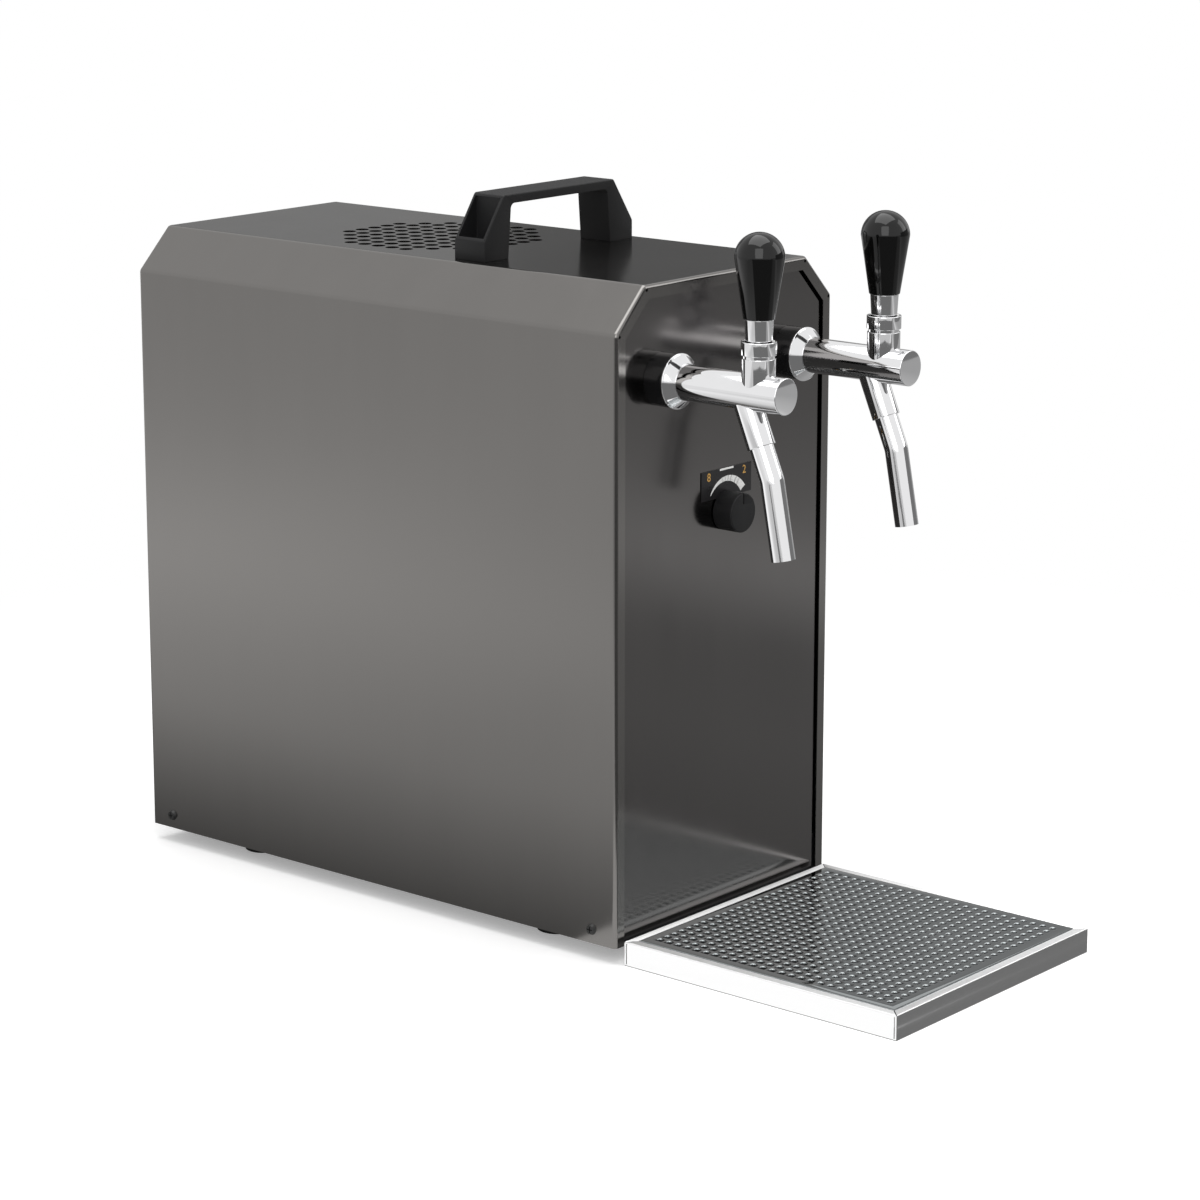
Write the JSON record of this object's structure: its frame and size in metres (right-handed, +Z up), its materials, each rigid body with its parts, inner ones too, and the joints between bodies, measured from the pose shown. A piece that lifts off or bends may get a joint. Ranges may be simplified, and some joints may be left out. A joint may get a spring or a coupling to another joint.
{
  "type": "draft beer cooler",
  "caption": "Portable draft beer cooler: steel casing with carry handle, levered taps with bent spouts, thermostat knob and a loose drip tray with grate.",
  "frame": {"origin": "centre of the whole object's footprint, on the floor", "axes": "+Z up, -Y towards the taps and drip tray, +X to the right seen from the front"},
  "size_m": [0.181, 0.5388, 0.3824],
  "materials": {
    "steel_sheet": "polished, softly blurred",
    "black_plastic": "satin",
    "gloss_black": "glossy",
    "chrome": "polished",
    "bright_steel": "bright",
    "dark_steel": "satin black",
    "rubber": "matt",
    "dark_screw": "blackened",
    "plate": "satin print",
    "brass": "machined",
    "copper": "drawn",
    "aluminium": "cast",
    "foam": "matt",
    "line_plastic": "satin",
    "tray_steel": "satin"
  },
  "bodies": {
    "casing": {"cover": "steel_sheet", "front_panel": "steel_sheet", "rear_panel": "dark_steel", "base_pan": "dark_steel", "rubber_feet": "rubber", "foot_screws": "bright_steel", "cover_screws": "dark_screw", "carry_handle": "black_plastic", "handle_screws": "bright_steel", "scale_plate": "plate", "thermostat_body": "black_plastic", "thermostat_nut": "bright_steel", "thermostat_capillary": "copper", "shank_sleeves": "black_plastic", "shanks": "chrome", "shank_nuts": "bright_steel", "tap_collars": "chrome", "lever_pins": "bright_steel", "tap_bonnets": "chrome", "cooling_block": "aluminium", "block_insulation": "foam", "beer_lines_in": "line_plastic", "beer_lines_out": "line_plastic", "beer_inlets": "line_plastic", "compressor": "dark_steel", "compressor_mounts": "rubber", "terminal_box": "black_plastic", "fan_shroud": "dark_steel", "fan_motor": "dark_steel", "condenser_fins": "aluminium", "condenser_tube": "copper", "filter_drier": "copper", "discharge_line": "copper", "liquid_line": "copper", "expansion_line": "copper", "suction_line": "copper", "mains_inlet": "black_plastic", "inlet_pins": "brass", "switch_frame": "black_plastic", "left_tap_body": "chrome", "left_spout": "chrome", "right_tap_body": "chrome", "right_spout": "chrome"},
    "tray": {"drip_tray": "tray_steel"},
    "grate": {"drip_grate": "tray_steel"},
    "knob": {"thermostat_knob": "black_plastic", "thermostat_shaft": "bright_steel"},
    "fan": {"fan_blades": "black_plastic", "fan_shaft": "bright_steel"},
    "rocker": {"switch_rocker": "gloss_black"},
    "left_lever": {"left_tap_lever": "chrome", "left_handle_ferrule": "chrome", "left_tap_handle": "gloss_black"},
    "left_plunger": {"left_tap_plunger": "bright_steel", "left_valve_seal": "rubber"},
    "right_lever": {"right_tap_lever": "chrome", "right_handle_ferrule": "chrome", "right_tap_handle": "gloss_black"},
    "right_plunger": {"right_tap_plunger": "bright_steel", "right_valve_seal": "rubber"}
  },
  "joints": [
    {"name": "left_lever_tilt", "type": "hinge", "parent": "casing", "child": "left_lever", "pos_m": [-0.0525, -0.1569, 0.324], "axis": [1, 0, 0], "range_deg": [0, 20]},
    {"name": "left_plunger_slide", "type": "slide", "parent": "casing", "child": "left_plunger", "axis": [0, 1, 0], "range_m": [0, 0.0084]},
    {"name": "right_lever_tilt", "type": "hinge", "parent": "casing", "child": "right_lever", "pos_m": [0.0525, -0.1569, 0.324], "axis": [1, 0, 0], "range_deg": [0, 20]},
    {"name": "right_plunger_slide", "type": "slide", "parent": "casing", "child": "right_plunger", "axis": [0, 1, 0], "range_m": [0, 0.0084]},
    {"name": "thermostat_turn", "type": "hinge", "parent": "casing", "child": "knob", "pos_m": [0.0005, -0.0966, 0.224], "axis": [0, -1, 0], "range_deg": [-270, 0]},
    {"name": "fan_spin", "type": "hinge", "parent": "casing", "child": "fan", "pos_m": [0, 0.1834, 0.245], "axis": [0, 1, 0], "continuous": true},
    {"name": "switch_rock", "type": "hinge", "parent": "casing", "child": "rocker", "pos_m": [0, 0.2429, 0.105], "axis": [1, 0, 0], "range_deg": [-16, 0]},
    {"name": "tray_pull", "type": "slide", "parent": "casing", "child": "tray", "axis": [0, -1, 0], "range_m": [0, 0.2]},
    {"name": "grate_lift", "type": "slide", "parent": "tray", "child": "grate", "axis": [0, 0, 1], "range_m": [0, 0.05]}
  ],
  "couplings": [
    {"joint": "left_plunger_slide", "follows": "left_lever_tilt", "m_per_rad": 0.024},
    {"joint": "right_plunger_slide", "follows": "right_lever_tilt", "m_per_rad": 0.024}
  ]
}
